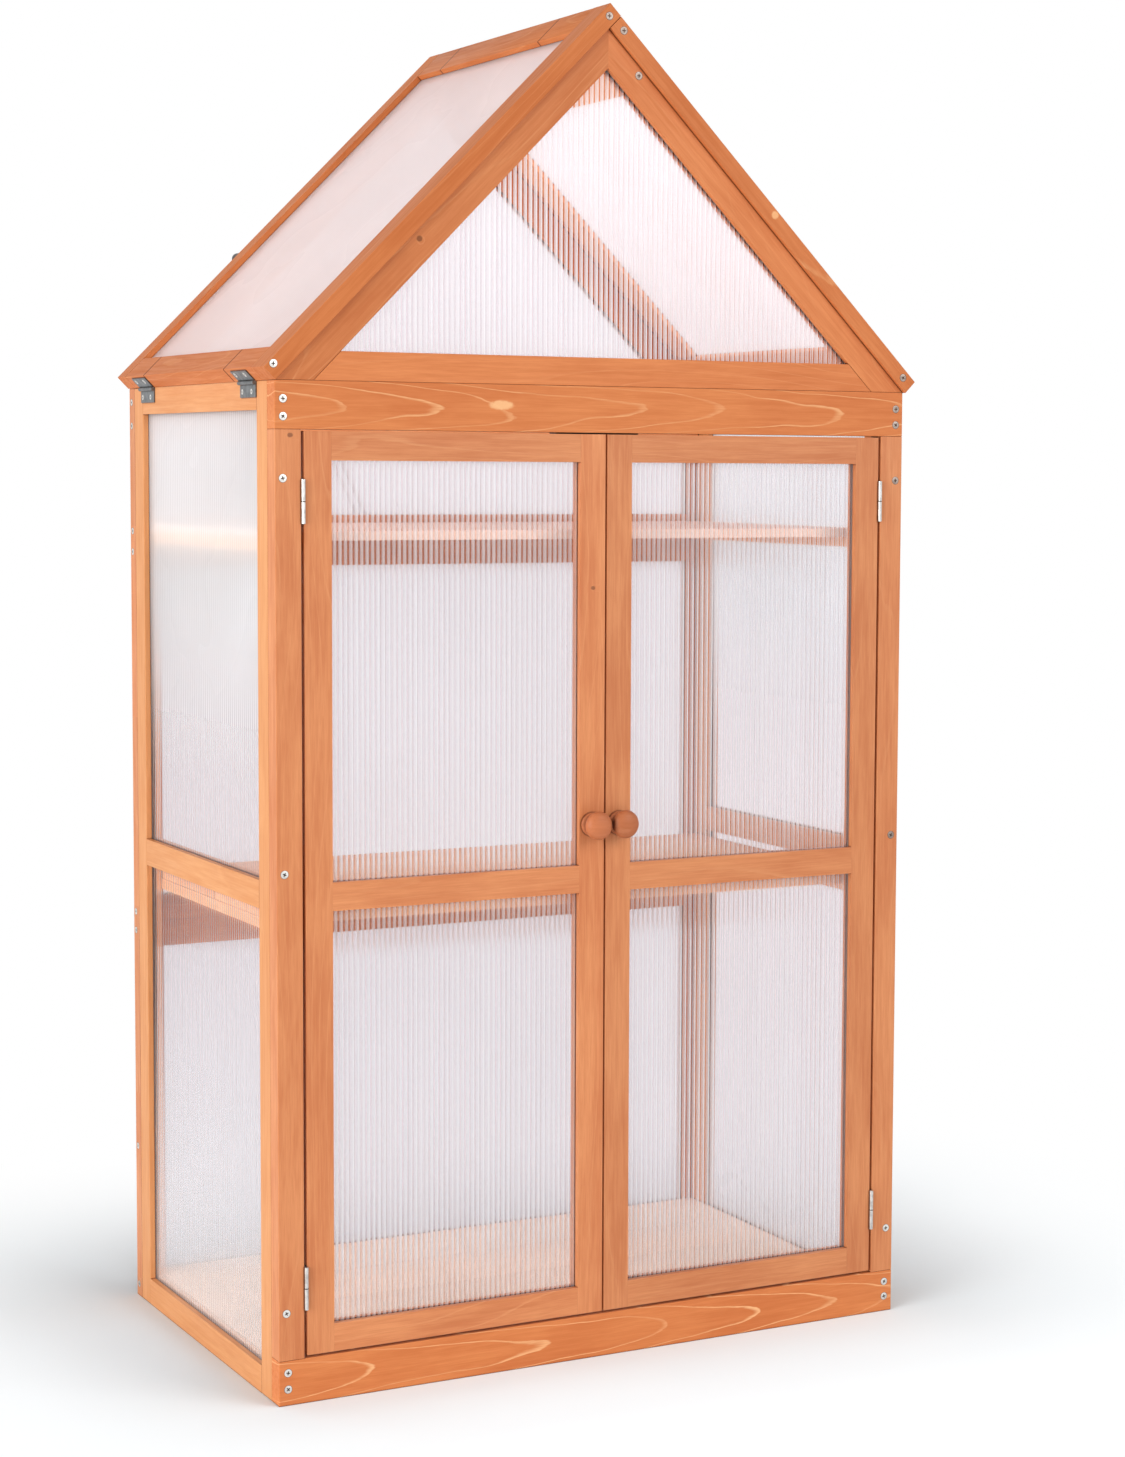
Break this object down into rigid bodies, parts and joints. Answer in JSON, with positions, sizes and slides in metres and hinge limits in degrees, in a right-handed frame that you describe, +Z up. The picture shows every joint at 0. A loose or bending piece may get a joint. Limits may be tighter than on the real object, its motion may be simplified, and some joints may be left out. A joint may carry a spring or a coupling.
{
  "type": "wooden mini greenhouse",
  "caption": "Narrow wooden greenhouse cabinet with glazed double doors, shelves and a saddle roof whose left half is a hinged lid on a stay.",
  "frame": {"origin": "on the ground, in the middle of the footprint", "axes": "+X to the right seen from the front, +Y from the doors to the back, +Z up"},
  "size_m": [0.787, 0.518, 1.4738],
  "materials": {
    "stained_fir": "oiled orange-brown, visible grain and knots",
    "inner_wood": "planed softwood, lightly stained",
    "knob_wood": "turned and stained",
    "twin_wall_pane": "milky twin-wall polycarbonate with fine upright flutes",
    "bright_zinc": "bright zinc plate",
    "dark_zinc": "dark grey plate",
    "screw_steel": "zinc-plated",
    "stay_steel": "zinc-plated flat bar",
    "magnet_steel": "bright plate",
    "black_plastic": "moulded, satin"
  },
  "bodies": {
    "cabinet": {"left_post": "stained_fir", "right_post": "stained_fir", "header": "stained_fir", "plinth": "stained_fir", "left_side_stiles": "stained_fir", "left_side_rails": "stained_fir", "left_side_panes": "twin_wall_pane", "right_side_stiles": "stained_fir", "right_side_rails": "stained_fir", "right_side_panes": "twin_wall_pane", "rear_lower_frame": "stained_fir", "rear_middle_frame": "stained_fir", "rear_upper_frame": "stained_fir", "rear_panes": "twin_wall_pane", "front_gable_rafters": "stained_fir", "front_gable_rail": "stained_fir", "front_gable_pane": "twin_wall_pane", "rear_gable_rafters": "stained_fir", "rear_gable_rail": "stained_fir", "rear_gable_pane": "twin_wall_pane", "roof_rafters": "stained_fir", "roof_ridge_rail": "stained_fir", "roof_eave_rail": "stained_fir", "roof_pane": "twin_wall_pane", "upper_shelf": "inner_wood", "middle_shelf": "inner_wood", "floor_boards": "inner_wood", "shelf_cleats": "inner_wood", "door_catch": "black_plastic", "catch_magnets": "magnet_steel", "door_frame_hinge_leaves": "bright_zinc", "door_hinge_pins": "bright_zinc", "lid_wall_hinge_leaves": "dark_zinc", "lid_hinge_pins": "dark_zinc", "stay_screw": "screw_steel"},
    "left_door": {"left_door_stiles": "stained_fir", "left_door_rails": "stained_fir", "left_door_panes": "twin_wall_pane", "left_door_knob": "knob_wood", "left_door_knob_screw": "screw_steel", "left_door_hinge_leaves": "bright_zinc", "left_door_strike": "screw_steel"},
    "right_door": {"right_door_stiles": "stained_fir", "right_door_rails": "stained_fir", "right_door_panes": "twin_wall_pane", "right_door_knob": "knob_wood", "right_door_knob_screw": "screw_steel", "right_door_hinge_leaves": "bright_zinc", "right_door_strike": "screw_steel"},
    "lid": {"lid_rafters": "stained_fir", "lid_ridge_rail": "stained_fir", "lid_eave_rail": "stained_fir", "lid_corner_blocks": "stained_fir", "lid_pane": "twin_wall_pane", "lid_hinge_leaves": "dark_zinc"},
    "stay_bar": {"stay_bar": "stay_steel"},
    "stay_knob": {"stay_knob": "black_plastic"}
  },
  "joints": [
    {"name": "left_door_hinge", "type": "hinge", "parent": "cabinet", "child": "left_door", "pos_m": [-0.34985, -0.2349, 0.5337], "axis": [0, 0, -1], "range_deg": [0, 170]},
    {"name": "right_door_hinge", "type": "hinge", "parent": "cabinet", "child": "right_door", "pos_m": [0.34985, -0.2349, 0.5337], "axis": [0, 0, 1], "range_deg": [0, 170]},
    {"name": "lid_hinge", "type": "hinge", "parent": "cabinet", "child": "lid", "pos_m": [-0.3825, 0, 1.06613], "axis": [0, -1, 0], "range_deg": [0, 80]},
    {"name": "stay_swing", "type": "hinge", "parent": "lid", "child": "stay_bar", "pos_m": [-0.23794, 0.2363, 1.22349], "axis": [0, -1, 0], "range_deg": [-40, 0]},
    {"name": "stay_knob_turn", "type": "hinge", "parent": "lid", "child": "stay_knob", "pos_m": [-0.23794, 0.241, 1.22349], "axis": [0, 1, 0], "continuous": true}
  ],
  "couplings": [
    {"joint": "stay_swing", "follows": "lid_hinge", "ratio": -0.5}
  ]
}
